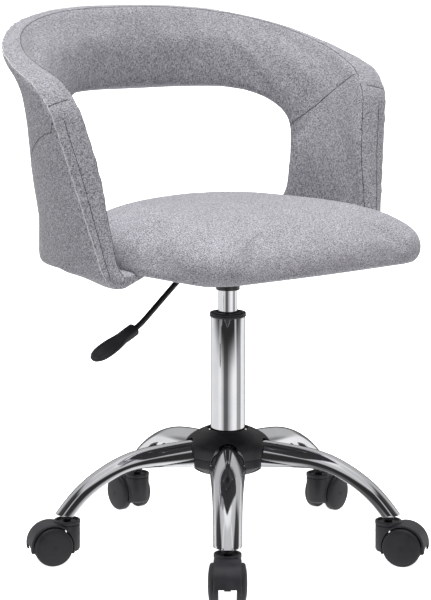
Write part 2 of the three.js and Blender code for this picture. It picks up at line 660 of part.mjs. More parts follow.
// A layer of the back between two depths, over the grid cells that keep accepts.
function backSheet(depthOut, depthIn, keep) {
  const edge = BOXING_THICK + SEAM_GAP;
  const rows = pathStops.map((u) => rowHeights(u, edge));
  const columns = pathStops.length;
  const height = rows[0].length;
  const positions = [];
  pathStops.forEach((u, i) => {
    for (const z of rows[i]) {
      const top = rows[i].at(-1);
      positions.push(...backPoint(u, z, depthOut(u, z, top), edge));
      positions.push(...backPoint(u, z, depthIn(u, z, top), edge));
    }
  });
  const outer = ([i, j]) => 2 * (i * height + j);
  const inner = ([i, j]) => 2 * (i * height + j) + 1;
  const kept = (i, j) => {
    if (i < 0 || j < 0 || i + 1 >= columns || j + 1 >= height) return false;
    const middle = (pathStops[i] + pathStops[i + 1]) / 2;
    return !(j === WINDOW_ROW && inWindow(middle)) && keep(middle, j);
  };
  const index = [];
  const quad = (a, b, c, d) => index.push(a, b, c, a, c, d);
  for (let i = 0; i + 1 < columns; i += 1) {
    for (let j = 0; j + 1 < height; j += 1) {
      if (!kept(i, j)) continue;
      const corner = [[i, j], [i + 1, j], [i + 1, j + 1], [i, j + 1]];
      const beside = [[i, j - 1], [i + 1, j], [i, j + 1], [i - 1, j]];
      quad(...corner.map(inner));
      quad(outer(corner[0]), outer(corner[3]), outer(corner[2]), outer(corner[1]));
      beside.forEach(([ni, nj], k) => {
        const a = corner[k];
        const b = corner[(k + 1) % 4];
        if (!kept(ni, nj)) quad(inner(a), outer(a), outer(b), inner(b));
      });
    }
  }
  return meshOf(positions, index);
}

const layer = (depth) => (u, z) => depth + waist(u, z);

// Depth of the pad's inner face: fuller at elbow height, thinner again at the rim.
function padDepth(u, z, top) {
  const thick = PAD_SWELL * smooth(z, BACK_BOTTOM, 590) - RIM_THIN * (1 - smooth(top - z, 0, 60));
  return PAD_LOW + thick + 0.5 * Math.max(waist(u, z) - WAIST, 0);
}

function addBoxing() {
  const loops = [];
  const section = (u, zAt) => {
    const [a, b] = BOXING;
    const corner = (depth, edge) => {
      const z = zAt(edge);
      return backPoint(u, z, depth, edge);
    };
    const thin = waist(u, zAt(0));
    loops.push([corner(a + thin, 0), corner(b, 0), corner(b, BOXING_THICK), corner(a + thin, BOXING_THICK)]);
  };
  const climb = [0, 0.33, 0.67];
  const upTo = (u, share) => (edge) => FOOT_BOTTOM + (rimHeight(u, edge) - FOOT_BOTTOM) * share;
  for (const share of climb) section(-1, upTo(-1, share));
  for (const u of pathStops) section(u, (edge) => rimHeight(u, edge));
  for (const share of [...climb].reverse()) section(1, upTo(1, share));
  addPart('rim_boxing', loft(loops, ([x, y]) => [x, y]), fabric);
}

// The left arm's foot, turned in under the seat.
function flangeGeometry() {
  const behind = BOXING_THICK + SEAM_GAP;
  const outer = pathStops.filter((u) => u > 0 && turnAt(u) > turn(62))
    .map((u) => backPoint(u, BACK_BOTTOM, SIDE_HALF - FLANGE_OUTER, behind));
  const plan = [[FLANGE_INNER, outer[0][1]], ...outer, [FLANGE_INNER, outer.at(-1)[1]]];
  return loft([FLANGE_LOW, PLATE_TOP].map((z) => plan.map(([x, y]) => [x, y, z])));
}

function addBack() {
  const whole = () => true;
  const overWindow = (u, row) => inWindow(u) && row > WINDOW_ROW;
  const oneSide = (side) => (u, row) => Math.sign(u) === side && offMiddle(u)
    && (row < WINDOW_ROW || inArm(u));
  addPart('back_shell', backSheet(layer(SHELL[0]), layer(SHELL[1]), whole), plywood);
  for (const [label, keep] of [['right_arm', oneSide(-1)], ['left_arm', oneSide(1)], ['back', overWindow]]) {
    addPart(`${label}_pad`, backSheet(layer(PAD_START), padDepth, keep), fabric);
    addPart(`${label}_outer_panel`, backSheet(layer(PANEL[0]), layer(PANEL[1]), keep), fabric);
  }
  addBoxing();
  for (const [label, side] of [['right', -1], ['left', 1]]) {
    addPart(`${label}_side_flange`, outward(weld(flangeGeometry().scale(side, 1, 1))), fabric);
  }
}

group.position.y = COLUMN_Y;

addBase();
addHub();
addColumn();
addMechanism();
addSeat();
addBack();

export default group;
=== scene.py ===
# A low swivel desk chair: padded seat, wrap-around upholstered back with a window, chrome star base
# on casters.
# Lengths are written in millimetres from the column's axis and placed in the frame's metres by place().

import math

import bmesh
import bpy
import numpy as np
from mathutils import Matrix, Vector
from mathutils.bvhtree import BVHTree


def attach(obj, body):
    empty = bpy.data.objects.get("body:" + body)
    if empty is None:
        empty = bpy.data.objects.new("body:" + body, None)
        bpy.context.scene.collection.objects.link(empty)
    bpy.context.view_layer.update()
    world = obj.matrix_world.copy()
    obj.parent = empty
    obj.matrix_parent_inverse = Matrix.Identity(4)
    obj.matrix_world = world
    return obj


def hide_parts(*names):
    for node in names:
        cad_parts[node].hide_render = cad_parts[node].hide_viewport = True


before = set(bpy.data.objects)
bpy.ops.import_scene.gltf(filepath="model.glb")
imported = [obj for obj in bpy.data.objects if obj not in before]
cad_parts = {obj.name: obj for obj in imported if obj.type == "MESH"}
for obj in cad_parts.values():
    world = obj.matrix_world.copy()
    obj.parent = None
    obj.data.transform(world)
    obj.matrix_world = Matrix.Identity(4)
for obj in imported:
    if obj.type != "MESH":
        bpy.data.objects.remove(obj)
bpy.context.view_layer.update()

MM = 0.001
COLUMN_Y = -16.6
scene = bpy.context.scene

# ---- dimensions shared with the CAD ----

BACK_BOTTOM, BACK_SQUARE = 424, 2.5
SIDE_HALF, SIDE_FLARE = 264.5, 0.237
BACK_DEPTH, BACK_FLARE = 232, 0.08
FRONT_EDGE, FRONT_LEAN = -52.5, 0.19
RIM_HEIGHT, RIM_RISE, RIM_CORNER, CORNER_TOP = 680, 0.4, 52, 625
WINDOW_TURN, WINDOW_MIDDLE = 60, 556
WINDOW_REACH = (108, 101)        # down and up from the middle
WINDOW_POWER = (4, 3)
WAIST, WAIST_HIGH, RIM_FLARE, WAIST_BACK = 21, 26, 35, 0.55
PAD_LOW, PAD_SWELL, RIM_THIN = 41, 20, 15
ARC_SHARE = 0.8

STAR_TURN, STEM_CIRCLE = 13, 240
WHEEL_R, WHEEL_WIDTH, WHEEL_TRACK, WEB = 27.5, 13.5, 24.5, 9
CASTER_TRAIL, HOOD_R, HOOD_WIDTH, CUP_TOP = 24, 32, 37.5, 62
HOUSING_BOTTOM, TAIL_BOTTOM, TAIL_GAP = 16, 20, (32, 28)
HUB_R, HUB_BOTTOM, HUB_SEAM = 63, 117, 142
NOTCH_WIDE, NOTCH_BOTTOM, NOTCH_SPRING, NOTCH_TOP = 51.4, 120, 130, 166.6
ARM_CREST = ((34.6, 165), (90, 161), (145, 155), (187, 135.5), (227, 108), (246, 84), (256, 72), (261, 64))
ARM_DEEP, ARM_WIDE = (35, 17), (49.4, 39)
ARM_END, ARM_SHEET = 70, 2.2

# ---- small helpers ----


def smooth(x, low, high):
    t = min(max((x - low) / (high - low), 0.0), 1.0)
    return t * t * (3 - 2 * t)


def lerp(a, b, t):
    return a + (b - a) * t


def spaced(start, end, count):
    return [float(v) for v in np.linspace(start, end, count)]


def signed_power(x, power):
    return math.copysign(abs(x) ** power, x)


def place(x, y, z):
    """A point in millimetres from the column's axis, in the frame's metres."""
    return (x * MM, (y + COLUMN_Y) * MM, z * MM)


def metres(x, y, z):
    """A point in millimetres of a piece's own space, in metres."""
    return (x * MM, y * MM, z * MM)


def new_object(name, verts, faces, sharp_angle=35):
    mesh = bpy.data.meshes.new(name)
    mesh.from_pydata(verts, [], faces)
    bm = bmesh.new()
    bm.from_mesh(mesh)
    bmesh.ops.remove_doubles(bm, verts=bm.verts, dist=1e-6)
    bmesh.ops.recalc_face_normals(bm, faces=bm.faces)
    bm.to_mesh(mesh)
    bm.free()
    obj = bpy.data.objects.new(name, mesh)
    scene.collection.objects.link(obj)
    soften(obj, sharp_angle)
    return obj


def soften(obj, sharp_angle=35):
    obj.data.shade_smooth()
    obj.data.set_sharp_from_angle(angle=math.radians(sharp_angle))


def apply_modifiers(obj):
    depsgraph = bpy.context.evaluated_depsgraph_get()
    mesh = bpy.data.meshes.new_from_object(obj.evaluated_get(depsgraph))
    obj.modifiers.clear()
    old = obj.data
    obj.data = mesh
    bpy.data.meshes.remove(old)


def boolean(obj, other, operation="DIFFERENCE"):
    mod = obj.modifiers.new("boolean", "BOOLEAN")
    mod.operation = operation
    mod.solver = "EXACT"
    mod.object = other
    apply_modifiers(obj)
    bpy.data.objects.remove(other)
    return obj


def bevel(obj, width, segments=2, angle=35):
    mod = obj.modifiers.new("edges", "BEVEL")
    mod.width = width * MM
    mod.segments = segments
    mod.limit_method = "ANGLE"
    mod.angle_limit = math.radians(angle)
    mod.harden_normals = False
    apply_modifiers(obj)
    soften(obj)
    return obj


def lathe(name, profile, segments=72, to=place, sharp_angle=35):
    """A solid of revolution about Z from (radius, height) points, ending on the axis or closing on itself."""
    closed = profile[0] == profile[-1]
    rows = profile[:-1] if closed else profile
    verts = []
    for r, z in rows:
        for k in range(segments):
            t = 2 * math.pi * k / segments
            verts.append(to(r * math.cos(t), r * math.sin(t), z))
    faces = []
    for j in range(len(rows) if closed else len(rows) - 1):
        low, high = j * segments, (j + 1) % len(rows) * segments
        for k in range(segments):
            n = (k + 1) % segments
            faces.append((low + k, low + n, high + n, high + k))
    return new_object(name, verts, faces, sharp_angle)


def loft(name, loops, sharp_angle=35):
    """Loops of equal length joined into one surface, with an end face at each end."""
    count = len(loops[0])
    verts = [p for loop in loops for p in loop]
    faces = []
    for row in range(len(loops) - 1):
        for k in range(count):
            a, b = row * count + k, row * count + (k + 1) % count
            faces.append((a, b, b + count, a + count))
    faces.append(tuple(range(count)))
    faces.append(tuple(range((len(loops) - 1) * count, len(loops) * count)))
    return new_object(name, verts, faces, sharp_angle)


def cylinder_y(name, radius, y0, y1, x, z, segments=64):
    """A round bar along Y in a piece's own space."""
    turns = [2 * math.pi * k / segments for k in range(segments)]
    ring = [(radius * math.cos(t), radius * math.sin(t)) for t in turns]
    return loft(name, [[metres(x + c, y, z + s) for c, s in ring] for y in (y0, y1)])


def block(name, low, high):
    """A box between two corners in a piece's own space."""
    corners = ((low[0], low[1]), (high[0], low[1]), (high[0], high[1]), (low[0], high[1]))
    return loft(name, [[metres(x, y, z) for x, y in corners] for z in (low[2], high[2])])


def tube(name, points, radius, sides=10):
    """A round cord of small radius along points given in metres."""
    points = [Vector(p) for p in points]
    turns = [2 * math.pi * k / sides for k in range(sides)]
    loops = []
    side = None
    for i, p in enumerate(points):
        along = (points[min(i + 1, len(points) - 1)] - points[max(i - 1, 0)]).normalized()
        if side is None:
            side = along.orthogonal().normalized()
        side = (side - along * side.dot(along)).normalized()
        up = along.cross(side)
        loops.append([tuple(p + radius * MM * (math.cos(t) * side + math.sin(t) * up)) for t in turns])
    return loft(name, loops, sharp_angle=80)


def smooth_path(points, count, passes):
    """Points spaced evenly along a path in a plane, then rounded off with its ends held."""
    path = np.array(points, dtype=float)
    lengths = np.concatenate([[0], np.cumsum(np.linalg.norm(np.diff(path, axis=0), axis=1))])
    fine = np.linspace(0, lengths[-1], count)
    path = np.column_stack([np.interp(fine, lengths, path[:, i]) for i in range(2)])
    for _ in range(passes):
        path[1:-1] = 0.5 * path[1:-1] + 0.25 * (path[:-2] + path[2:])
    return path


def placed_copy(source, name, matrix):
    mesh = source.data.copy()
    mesh.transform(matrix)
    piece = bpy.data.objects.new(name, mesh)
    scene.collection.objects.link(piece)
    return piece


def finish_piece(obj, body, material, slot, *nodes):
    """Gives a piece its material, the body it rides on and the CAD nodes it stands for."""
    obj.data.materials.clear()
    obj.data.materials.append(material)
    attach(obj, body)
    if nodes:
        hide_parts(*nodes)
    return obj


# ---- materials ----


class Graph:
    """A material's node tree, with short calls for the nodes used here."""

    def __init__(self, name):
        self.material = bpy.data.materials.new(name)
        self.material.use_nodes = True
        self.tree = self.material.node_tree
        self.tree.nodes.clear()
        self.output = self.node("ShaderNodeOutputMaterial")
        self.shader = self.node("ShaderNodeBsdfPrincipled")
        self.link(self.shader.outputs[0], self.output.inputs["Surface"])
        self.coords = self.node("ShaderNodeTexCoord").outputs["Object"]

    def node(self, kind, **settings):
        made = self.tree.nodes.new(kind)
        for key, value in settings.items():
            setattr(made, key, value)
        return made

    def link(self, source, target):
        self.tree.links.new(source, target)

    def stretched(self, scale, coords=None):
        mapping = self.node("ShaderNodeMapping")
        mapping.inputs["Scale"].default_value = scale
        self.link(coords or self.coords, mapping.inputs["Vector"])
        return mapping.outputs[0]

    def noise(self, scale, detail=2.0, roughness=0.5, stretch=None):
        made = self.node("ShaderNodeTexNoise")
        made.inputs["Scale"].default_value = scale
        made.inputs["Detail"].default_value = detail
        made.inputs["Roughness"].default_value = roughness
        self.link(self.stretched(stretch) if stretch else self.coords, made.inputs["Vector"])
        return made.outputs["Fac"]

    def math(self, operation, a, b):
        made = self.node("ShaderNodeMath", operation=operation)
        for value, socket in ((a, made.inputs[0]), (b, made.inputs[1])):
            if isinstance(value, (int, float)):
                socket.default_value = value
            else:
                self.link(value, socket)
        return made.outputs[0]

    def ramp(self, value, stops):
        made = self.node("ShaderNodeValToRGB")
        elements = made.color_ramp.elements
        while len(elements) < len(stops):
            elements.new(0.5)
        for element, (position, color) in zip(elements, stops):
            element.position = position
            element.color = (*color, 1)
        self.link(value, made.inputs[0])
        return made.outputs[0]

    def between(self, value, low, high, from_low=0.0, from_high=1.0):
        made = self.node("ShaderNodeMapRange")
        ends = {"From Min": from_low, "From Max": from_high, "To Min": low, "To Max": high}
        for socket, number in ends.items():
            made.inputs[socket].default_value = number
        self.link(value, made.inputs["Value"])
        return made.outputs[0]

    def multiply(self, color, other, factor=1.0):
        made = self.node("ShaderNodeMix", data_type="RGBA", blend_type="MULTIPLY")
        made.inputs["Factor"].default_value = factor
        self.link(color, made.inputs["A"])
        self.link(other, made.inputs["B"])
        return made.outputs["Result"]

    def bump(self, height, distance, strength=1.0):
        made = self.node("ShaderNodeBump")
        made.inputs["Distance"].default_value = distance * MM
        made.inputs["Strength"].default_value = strength
        self.link(height, made.inputs["Height"])
        return made.outputs[0]

    def set(self, **values):
        for key, value in values.items():
            socket = self.shader.inputs[key.replace("_", " ")]
            if isinstance(value, bpy.types.NodeSocket):
                self.link(value, socket)
            else:
                socket.default_value = value
        return self


def fabric_material(name, warp, weft, dark=(0.15, 0.147, 0.165), light=(0.66, 0.65, 0.70)):
    """Heathered linen: slubby threads along warp and weft, light and dark flecks, painted shade along the
    seams, and a soft sheen.
    """
    g = Graph(name)
    long_threads = g.noise(1.0, 2.0, 0.6, warp)
    cross_threads = g.noise(1.0, 2.0, 0.6, weft)
    flecks = g.noise(950.0, 1.0, 0.6)
    fine = g.noise(1700.0, 1.0, 0.5)
    cloud = g.noise(26.0, 3.0, 0.5)
    threads = g.math("ADD", g.math("MULTIPLY", long_threads, 0.40), g.math("MULTIPLY", cross_threads, 0.25))
    yarn = g.math("ADD", threads, g.math("MULTIPLY", flecks, 0.35))
    middle = tuple(lerp(a, b, 0.46) for a, b in zip(dark, light))
    color = g.ramp(yarn, ((0.44, dark), (0.50, middle), (0.56, light)))
    shade = g.between(cloud, 0.96, 1.04, 0.3, 0.7)
    # Along the seam mark the colour is multiplied down to 0.45: painted shade in the pressed seams' grooves,
    # on top of the random cloud tone.
    seam = g.node("ShaderNodeAttribute", attribute_name="seam").outputs["Fac"]
    mottle_and_seam_shade = g.math("MULTIPLY", shade, g.between(seam, 1.0, 0.45))
    tint = g.node("ShaderNodeCombineColor")
    for channel in range(3):
        g.link(mottle_and_seam_shade, tint.inputs[channel])
    color = g.multiply(color, tint.outputs[0])
    weave = g.math("ADD", g.math("ADD", yarn, g.math("MULTIPLY", fine, 0.5)), g.math("MULTIPLY", cloud, 0.1))
    g.set(Base_Color=color, Roughness=g.between(flecks, 0.86, 0.98), Normal=g.bump(weave, 0.55, 0.55))
    g.set(Sheen_Weight=0.25, Sheen_Roughness=0.45, Specular_IOR_Level=0.25)
    return g.material


def plastic_material(name, low=(0.022, 0.021, 0.025), high=(0.034, 0.033, 0.038), rough=(0.38, 0.52)):
    g = Graph(name)
    grain = g.noise(1900.0, 2.0, 0.6)
    cloud = g.noise(55.0, 3.0, 0.55)
    g.set(Base_Color=g.ramp(cloud, ((0.35, low), (0.65, high))), Roughness=g.between(cloud, *rough, 0.3, 0.7))
    g.set(Normal=g.bump(grain, 0.06, 0.6), Specular_IOR_Level=0.5)
    return g.material


def chrome_material():
    g = Graph("chrome_plating")
    haze = g.noise(38.0, 4.0, 0.6)
    polish = g.noise(1.0, 2.0, 0.5, (260.0, 260.0, 30.0))
    g.set(Base_Color=g.ramp(haze, ((0.3, (0.80, 0.81, 0.83)), (0.7, (0.87, 0.875, 0.885)))), Metallic=1.0)
    g.set(Roughness=g.between(g.math("ADD", haze, polish), 0.035, 0.085, 0.6, 1.4))
    g.set(Normal=g.bump(haze, 0.05, 0.08))
    return g.material


def steel_material():
    g = Graph("zinc_steel")
    spangle = g.noise(420.0, 3.0, 0.6)
    streak = g.noise(1.0, 2.0, 0.5, (900.0, 900.0, 60.0))
    g.set(Base_Color=g.ramp(spangle, ((0.35, (0.36, 0.37, 0.39)), (0.65, (0.52, 0.53, 0.55)))), Metallic=1.0)
    g.set(Roughness=g.between(streak, 0.26, 0.44, 0.3, 0.7), Normal=g.bump(streak, 0.04, 0.5))
    return g.material


def painted_material():
    g = Graph("black_paint")
    peel = g.noise(340.0, 2.0, 0.5)
    cloud = g.noise(30.0, 3.0, 0.55)
    g.set(Base_Color=g.ramp(cloud, ((0.35, (0.010, 0.010, 0.011)), (0.65, (0.018, 0.018, 0.020)))))
    g.set(Roughness=g.between(cloud, 0.30, 0.44, 0.3, 0.7), Normal=g.bump(peel, 0.10, 0.5))
    g.set(Coat_Weight=0.3, Coat_Roughness=0.25)
    return g.material


def plywood_material():
    g = Graph("plywood")
    grain = g.noise(1.0, 4.0, 0.62, (9.0, 160.0, 160.0))
    plies = g.node("ShaderNodeTexWave", bands_direction="Z")
    plies.inputs["Scale"].default_value = 95.0
    plies.inputs["Distortion"].default_value = 0.6
    g.link(g.coords, plies.inputs["Vector"])
    wood = g.ramp(grain, ((0.3, (0.36, 0.23, 0.12)), (0.7, (0.56, 0.40, 0.23))))
    layers = g.ramp(plies.outputs["Fac"], ((0.35, (0.72, 0.68, 0.62)), (0.65, (1.0, 1.0, 1.0))))
    g.set(Base_Color=g.multiply(wood, layers, 0.5), Roughness=g.between(grain, 0.62, 0.8, 0.3, 0.7))
    g.set(Normal=g.bump(grain, 0.15, 0.6))
    return g.material


black_board = plastic_material("black_stained_board", (0.012, 0.012, 0.013), (0.022, 0.022, 0.024),
                               (0.6, 0.75))
band_fabric = fabric_material("linen_back", (1300.0, 1300.0, 190.0), (280.0, 280.0, 1300.0))
seat_fabric = fabric_material("linen_seat", (1300.0, 280.0, 1300.0), (280.0, 1300.0, 1300.0))
# Near-black cords sunk into the seams: a dark thing laid in the seam grooves as painted shade.
seam_shadow_fabric = fabric_material("seam_shadow_cord", (900.0, 900.0, 300.0), (300.0, 300.0, 900.0),
                                (0.035, 0.034, 0.04), (0.10, 0.098, 0.11))
# The welt cords are real piping, and their lighter colour is a painted highlight along the edge.
welt_highlight_fabric = fabric_material("linen_welt_highlight", (900.0, 900.0, 300.0), (300.0, 300.0, 900.0),
                              (0.42, 0.415, 0.43), (0.86, 0.85, 0.87))
charcoal = plastic_material("charcoal_plastic")
tread = plastic_material("wheel_plastic", (0.018, 0.018, 0.021), (0.028, 0.028, 0.032), (0.45, 0.6))
chrome = chrome_material()
zinc = steel_material()
paint = painted_material()
plywood = plywood_material()

# ---- shape of the wrap-around back ----


def turn_at(u):
    """Angle round the back at path u, which runs from -1 at the right arm's front to 1 at the left one's."""
    return math.pi / 2 * min(abs(u) / ARC_SHARE, 1)


def front_y(z, edge):
    """The arms' leaning front edge, drawn in by edge."""
    return FRONT_EDGE + FRONT_LEAN * (z - BACK_BOTTOM) + edge


def back_point(u, z, inset, edge):
    """The point at path u and height z, inset inwards from the plain outer face."""
    rise = z - BACK_BOTTOM
    half = SIDE_HALF + SIDE_FLARE * rise - inset
    deep = BACK_DEPTH + BACK_FLARE * rise - inset
    t = turn_at(u)
    power = 2 / BACK_SQUARE
    x = math.copysign(half * math.sin(t) ** power, u)
    straight = max((abs(u) - ARC_SHARE) / (1 - ARC_SHARE), 0)
    y = straight * front_y(z, edge) if straight > 0 else deep * max(math.cos(t), 0) ** power
    return (x, y, z)


def rim_height(u, edge, front=0):
    """Height of the rim drawn in by edge, for a path whose front end is drawn in by front."""
    z = RIM_HEIGHT
    for _ in range(4):
        y = back_point(u, z, 0, front)[1]
        r = RIM_CORNER - edge
        q = min(max((front_y(CORNER_TOP, 0) + RIM_CORNER - y) / r, 0), 1)
        z = RIM_HEIGHT + RIM_RISE * y - edge - r * (1 - math.sqrt(1 - q * q))
    return z


def waist(u, z):
    """How far the outer face is drawn in: waisted at the corners and flared at the rim."""
    t = turn_at(u)
    corner = math.sin(2 * t) ** 2
    share = lerp(WAIST_BACK, 1, corner) if t < math.pi / 4 else corner
    flare = RIM_FLARE * (1 - smooth(rim_height(u, 0) - z, 0, 55))
    return share * (WAIST * smooth(z, BACK_BOTTOM, 520) + WAIST_HIGH * smooth(z, 530, 660) - flare)


def pad_depth(u, z, top):
    """How far in the inner face lies, thinner under the rim of the back."""
    thinned = RIM_THIN * (1 - smooth(top - z, 0, 60)) * (1 - smooth(abs(u), 0.60, 0.80))
    thick = PAD_SWELL * smooth(z, BACK_BOTTOM, 590) - thinned
    return PAD_LOW + thick + 0.5 * max(waist(u, z) - WAIST, 0)


SLACK = 2.5                      # the pad starts this much smaller, and the simulation swells it
OUTER_ROUND, INNER_ROUND = 3.0, 8.0


def section(u, front, shrink):
    """One closed cross-section at path u, its faces drawn in by shrink and its front end by front."""
    top = rim_height(u, SLACK, front) - shrink + SLACK
    low = BACK_BOTTOM + shrink
    r, q = OUTER_ROUND, INNER_ROUND
    outer = waist(u, top) + shrink
    inner = pad_depth(u, top, top) - shrink
    corner = [(math.sin(t), math.cos(t)) for t in np.radians([22, 45, 68])]
    points = [(z, waist(u, z) + shrink) for z in spaced(low + r, top - r, 30)]
    points += [(top - r * (1 - up), outer + r * (1 - across)) for up, across in corner]
    points += [(top, inset) for inset in spaced(outer + r, inner - q, 5)]
    points += [(top - q * (1 - up), inner - q * (1 - across)) for up, across in reversed(corner)]
    points += [(z, pad_depth(u, z, top) - shrink) for z in spaced(top - q, low + q, 30)]
    inner = pad_depth(u, low, top) - shrink
    points += [(low + q * (1 - across), inner - q * (1 - up)) for across, up in corner]
    points += [(low, inset) for inset in spaced(inner - q, shrink + r, 4)]
    return [place(*back_point(u, z, inset, front)) for z, inset in points]


def band_solid():
    """The whole back without its window and feet, with rounded front ends."""
    ends = [(SLACK, SLACK + 3), (SLACK + 1, SLACK + 1), (SLACK + 3.5, SLACK)]
    loops = [section(-1, front, shrink) for front, shrink in ends]
    stops = spaced(-0.97, -0.8, 10) + spaced(-0.79, 0.79, 117) + spaced(0.8, 0.97, 10)
    loops += [section(u, SLACK + 3.5, SLACK) for u in stops]
    loops += [section(1, front, shrink) for front, shrink in reversed(ends)]
    return loft("wrap_back", loops)


def make_shell():
    """The moulded board inside the back, wholly inside the padding."""
    loops = []
    for u in spaced(-0.9, 0.9, 80):
        top = rim_height(u, 0) - 20
        heights = spaced(BACK_BOTTOM + 9, top, 16)
        loop = [(z, waist(u, z) + 14) for z in heights]
        loop += [(z, waist(u, z) + 21) for z in reversed(heights)]
        loops.append([place(*back_point(u, z, inset, 0)) for z, inset in loop])
    shell = loft("moulded_shell", loops)
    boolean(shell, window_cutter(11))
    finish_piece(shell, "seat", plywood, "plywood", "back_shell")


def window_cutter(wider):
    """A tool that cuts the see-through opening through both faces, wider than its finished edge."""
    ring = []
    for k in range(120):
        a = 2 * math.pi * k / 120
        side = 1 if math.sin(a) >= 0 else 0
        power = 2 / WINDOW_POWER[side]
        t = (WINDOW_TURN + wider * 0.27) * signed_power(math.cos(a), power)
        dz = (WINDOW_REACH[side] + wider) * signed_power(math.sin(a), power)
        ring.append((t / 90 * ARC_SHARE, dz))
    loops = []
    for scale in (0.1, 0.4, 0.7, 0.9):
        loops.append([place(*back_point(u * scale, WINDOW_MIDDLE + dz * scale, -60, 0)) for u, dz in ring])
    for inset in (-60, -30, 0, 30, 60, 95):
        loops.append([place(*back_point(u, WINDOW_MIDDLE + dz, inset, 0)) for u, dz in ring])
    for scale in (0.9, 0.7, 0.4, 0.1):
        loops.append([place(*back_point(u * scale, WINDOW_MIDDLE + dz * scale, 95, 0)) for u, dz in ring])
    return loft("window_cutter", loops)


TOE_PROFILE = ((180, 423), (190, 420), (203, 415.6), (214, 411), (222, 408), (229, 407.2), (236, 409.2),
               (243, 413), (249, 417), (255, 421.5), (261, 425))


# (y, shrink) of the foot's cross-sections, from its rounded front end
FOOT_STATIONS = ((-50, 4), (-49, 2), (-46.5, 0.6), (-42, 0), (-25, 0), (-8, 0), (10, 0), (28, 0), (46, 0))


def foot_solid(side):
    """The arm's foot: a rounded toe that turns in under the seat, thinning out towards the back."""
    xs, zs = zip(*TOE_PROFILE)
    loops = []
    for y, shrink in FOOT_STATIONS:
        depth = 1 - smooth(y, -25, 50)
        loop = []
        for x in spaced(xs[0] + shrink, xs[-1] - shrink, 28):
            z = float(np.interp(x, xs, zs))
            loop.append((x, 425 - max((425 - z) * depth - shrink, 0.5)))
        loop += [(xs[-1] - shrink, 430), (xs[0] + shrink, 430)]
        loops.append([place(side * x, y, z) for x, z in loop])
    return loft(f"foot_{side}", loops)


def join_into(target, *others):
    bm = bmesh.new()
    bm.from_mesh(target.data)
    for other in others:
        bm.from_mesh(other.data)
        bpy.data.objects.remove(other)
    bm.to_mesh(target.data)
    bm.free()


# ---- soft pieces ----

VOXEL = 5.0
SWELL_FRAMES = 20


def remesh(obj, voxel):
    mod = obj.modifiers.new("remesh", "REMESH")
    mod.mode = "VOXEL"
    mod.voxel_size = voxel * MM
    mod.adaptivity = 0
    apply_modifiers(obj)


def relax(obj, factor, iterations):
    mod = obj.modifiers.new("relax", "SMOOTH")
    mod.factor = factor
    mod.iterations = iterations
    apply_modifiers(obj)


def coordinates(obj, kind="co"):
    """Every vertex's place, or with kind "normal" its normal, one row each."""
    flat = np.empty(len(obj.data.vertices) * 3)
    obj.data.vertices.foreach_get(kind, flat)
    return flat.reshape(-1, 3)


def set_coordinates(obj, points):
    obj.data.vertices.foreach_set("co", np.ascontiguousarray(points, dtype=np.float64).ravel())
    obj.data.update()


def swell(obj, cap, pinned, pressure):
    """Cloth under inner pressure, its result capped and applied. pinned gives each point's hold, 0 to 1."""
    start = coordinates(obj).copy()
    cloth = obj.modifiers.new("cloth", "CLOTH")
    settings = cloth.settings
    settings.quality = 5
    settings.mass = 0.3
    settings.tension_stiffness = 15
    settings.compression_stiffness = 15
    settings.shear_stiffness = 8
    settings.bending_stiffness = 2
    settings.use_pressure = True
    settings.uniform_pressure_force = pressure
    settings.effector_weights.gravity = 0
    cloth.collision_settings.use_collision = False
    group = obj.vertex_groups.new(name="pinned")
    for weight in (0.35, 0.7, 1.0):
        members = np.nonzero((pinned > weight - 0.175) & (pinned <= weight + 0.175))[0]
        group.add([int(i) for i in members], weight, "REPLACE")
    settings.vertex_group_mass = "pinned"
    for number in range(1, SWELL_FRAMES + 1):
        scene.frame_set(number)
    apply_modifiers(obj)
    scene.frame_set(1)
    moved = coordinates(obj) - start
    length = np.linalg.norm(moved, axis=1)
    limit = cap * MM
    factor = np.where(length > 1e-9, limit * np.tanh(length / limit) / np.maximum(length, 1e-9), 0)
    set_coordinates(obj, start + moved * factor[:, None])
    obj.vertex_groups.clear()


def subdivide(obj):
    mod = obj.modifiers.new("subdivide", "SUBSURF")
    mod.levels = 1
    apply_modifiers(obj)


def distance_to_lines(points, lines, reach):
    """Distance of each point to the nearest of the polylines, in metres, no further than reach."""
    best = np.full(len(points), reach)
    for line in lines:
        line = np.asarray(line)
        low, high = line.min(0) - reach, line.max(0) + reach
        near = np.nonzero(np.all((points > low) & (points < high), axis=1))[0]
        if len(near) == 0:
            continue
        here = points[near]
        closest = np.full(len(near), reach)
        for a, b in zip(line[:-1], line[1:]):
            span = b - a
            t = np.clip((here - a) @ span / max(span @ span, 1e-12), 0, 1)
            closest = np.minimum(closest, np.linalg.norm(here - (a + t[:, None] * span), axis=1))
        best[near] = np.minimum(best[near], closest)
    return best


def sew(obj, lines, depth, width):
    """Presses the seams into the cloth and marks them for the material, which paints shade along them."""
    points = coordinates(obj)
    away = distance_to_lines(points, lines, width * 3 * MM) / MM
    press = np.exp(-(away / width) ** 2)
    set_coordinates(obj, points - coordinates(obj, "normal") * (press * depth * MM)[:, None])
    attribute = obj.data.attributes.new("seam", "FLOAT", "POINT")
    attribute.data.foreach_set("value", np.exp(-(away / (width * 0.75)) ** 2))


def on_surface(obj, points, sink):
    """The points moved onto the piece's surface and sunk into it by sink millimetres."""
    tree = BVHTree.FromObject(obj, bpy.context.evaluated_depsgraph_get())
    result = []
    for p in points:
        where, normal, _, _ = tree.find_nearest(Vector(p))
        result.append(where - normal * sink * MM)
    return result


# ---- the wrap-around back's seams, as lines in metres ----


def rim_line(share, u_from=-1.0, u_to=1.0, count=150):
    """A line on the rim border, share of the way from its outer to its inner edge."""
    line = []
    for u in spaced(u_from, u_to, count):
        top = rim_height(u, 0)
        inset = lerp(waist(u, top) + 3, pad_depth(u, top, top), share)
        line.append(place(*back_point(u, top, inset, 0)))
    return line


